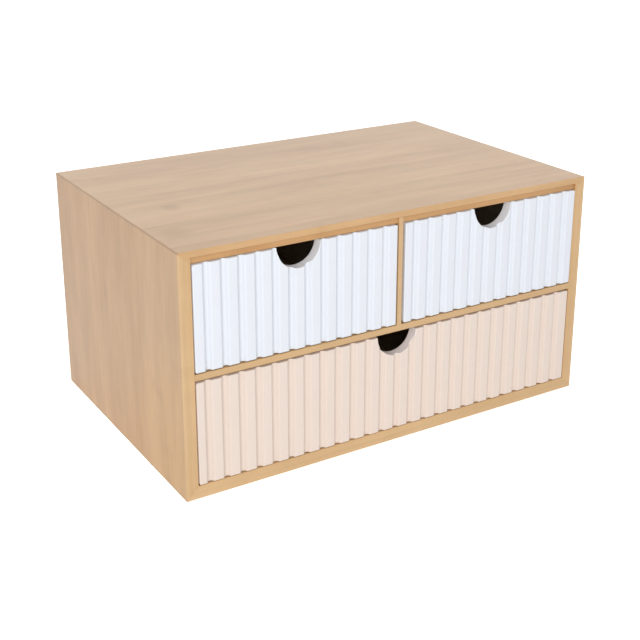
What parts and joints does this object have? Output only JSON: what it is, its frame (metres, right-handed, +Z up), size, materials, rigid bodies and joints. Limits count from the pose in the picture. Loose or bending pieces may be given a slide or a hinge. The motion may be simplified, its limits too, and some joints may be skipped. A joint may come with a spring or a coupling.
{
  "type": "desktop drawer unit",
  "caption": "Desktop drawer unit: mitred bamboo case with a shelf and divider, and sliding drawers with fluted painted fronts and half-round finger notches.",
  "frame": {"origin": "middle of the footprint, on the surface the case stands on", "axes": "+X along the drawer fronts to the right, +Y from the fronts to the back, +Z up"},
  "size_m": [0.3, 0.195, 0.155],
  "materials": {
    "bamboo_case": "fine-grained bamboo with a clear satin lacquer",
    "bamboo_inner": "sanded bamboo board, unlacquered",
    "thin_panel": "thin bamboo ply",
    "white_paint": "wood with satin white paint",
    "peach_paint": "wood with satin pale peach paint",
    "brad_steel": "plain steel wire brads"
  },
  "bodies": {
    "case": {"top_panel": "bamboo_case", "bottom_panel": "bamboo_case", "left_side_panel": "bamboo_case", "right_side_panel": "bamboo_case", "back_panel": "thin_panel", "shelf_panel": "bamboo_case", "centre_divider": "bamboo_case", "back_panel_pins": "brad_steel"},
    "top_left_drawer": {"top_left_drawer_front": "white_paint", "top_left_drawer_left_side": "bamboo_inner", "top_left_drawer_right_side": "bamboo_inner", "top_left_drawer_back": "bamboo_inner", "top_left_drawer_bottom": "thin_panel", "top_left_drawer_pins": "brad_steel"},
    "top_right_drawer": {"top_right_drawer_front": "white_paint", "top_right_drawer_left_side": "bamboo_inner", "top_right_drawer_right_side": "bamboo_inner", "top_right_drawer_back": "bamboo_inner", "top_right_drawer_bottom": "thin_panel", "top_right_drawer_pins": "brad_steel"},
    "bottom_drawer": {"bottom_drawer_front": "peach_paint", "bottom_drawer_left_side": "bamboo_inner", "bottom_drawer_right_side": "bamboo_inner", "bottom_drawer_back": "bamboo_inner", "bottom_drawer_bottom": "thin_panel", "bottom_drawer_pins": "brad_steel"}
  },
  "joints": [
    {"name": "top_left_drawer_slide", "type": "slide", "parent": "case", "child": "top_left_drawer", "axis": [0, -1, 0], "range_m": [0, 0.15]},
    {"name": "top_right_drawer_slide", "type": "slide", "parent": "case", "child": "top_right_drawer", "axis": [0, -1, 0], "range_m": [0, 0.15]},
    {"name": "bottom_drawer_slide", "type": "slide", "parent": "case", "child": "bottom_drawer", "axis": [0, -1, 0], "range_m": [0, 0.15]}
  ]
}
